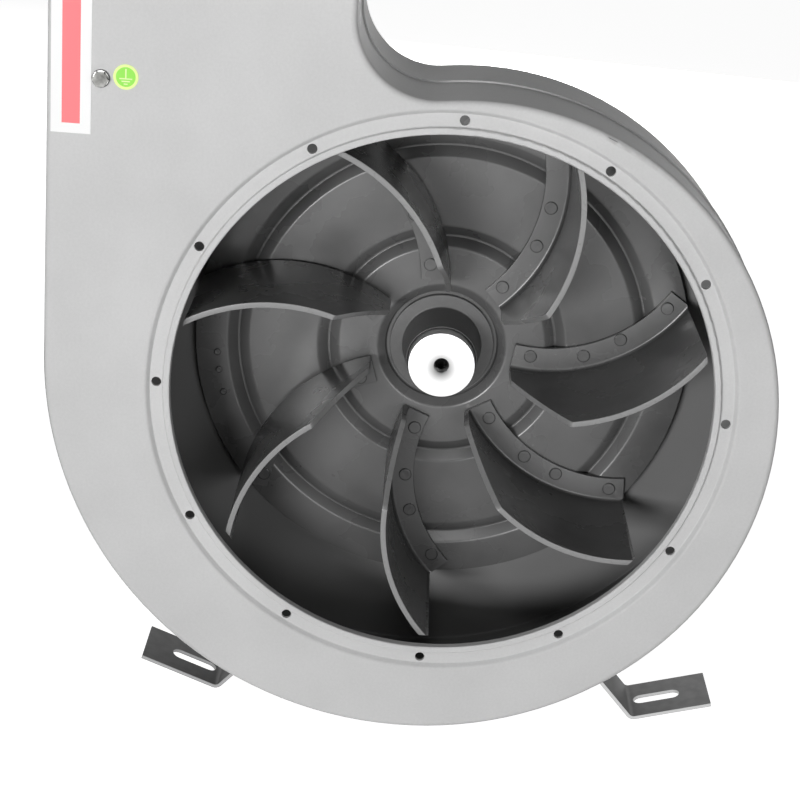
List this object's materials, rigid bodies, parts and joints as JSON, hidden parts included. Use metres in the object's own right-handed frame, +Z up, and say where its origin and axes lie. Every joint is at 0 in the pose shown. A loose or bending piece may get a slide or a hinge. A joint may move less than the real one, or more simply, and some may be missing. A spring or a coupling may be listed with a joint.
{
  "type": "chip extraction fan",
  "caption": "Direct-driven radial fan for drawing off chips: a sheet-steel scroll casing round an open paddle wheel of riveted curved blades, with a flange motor behind.",
  "frame": {"origin": "centre of the inlet's hole circle, on the face that the holes are in", "axes": "-Y out of the inlet towards the viewer, +Z up along the outlet duct, +X to the right as the inlet is looked at; the shaft lies along Y"},
  "size_m": [0.4124, 0.342, 0.4375],
  "materials": {
    "casing_paint": "satin grey powder coat",
    "wheel_paint": "satin dark grey",
    "hub_paint": "satin black-grey",
    "turned_steel": "turned",
    "foot_zinc": "dull zinc",
    "bright_zinc": "bright zinc",
    "core_steel": "plain",
    "motor_alloy": "painted cast alloy",
    "cowl_paint": "painted",
    "black_nylon": "moulded",
    "label_vinyl": "printed film",
    "earth_vinyl": "printed film"
  },
  "bodies": {
    "casing": {"scroll_front": "casing_paint", "scroll_rear": "casing_paint", "outlet_flange": "casing_paint", "foot_left": "foot_zinc", "foot_right": "foot_zinc", "earth_screw": "bright_zinc", "earth_washer": "bright_zinc", "earth_nut": "bright_zinc", "earth_sticker": "earth_vinyl", "label": "label_vinyl", "motor_plate": "foot_zinc", "motor_bolts": "bright_zinc", "motor_washers": "bright_zinc", "motor_nuts": "bright_zinc", "motor_front_shield": "motor_alloy", "motor_housing": "motor_alloy", "motor_rear_shield": "motor_alloy", "stator_core": "core_steel", "bearing_front": "core_steel", "bearing_rear": "core_steel", "fan_cowl": "cowl_paint", "cowl_screws": "bright_zinc", "terminal_box": "motor_alloy", "terminal_lid": "motor_alloy", "lid_screws": "bright_zinc", "cable_gland": "black_nylon"},
    "rotor": {"wheel_back_plate": "wheel_paint", "blade_1": "wheel_paint", "blade_2": "wheel_paint", "blade_3": "wheel_paint", "blade_4": "wheel_paint", "blade_5": "wheel_paint", "blade_6": "wheel_paint", "blade_7": "wheel_paint", "blade_rivets": "wheel_paint", "balance_rivets": "wheel_paint", "wheel_hub": "hub_paint", "hub_sleeve": "turned_steel", "shaft": "turned_steel", "shaft_key": "turned_steel", "rotor_core": "core_steel", "cooling_fan": "black_nylon"}
  },
  "joints": [
    {"name": "rotor_spin", "type": "hinge", "parent": "casing", "child": "rotor", "pos_m": [0, 0, 0], "axis": [0, -1, 0], "continuous": true}
  ]
}
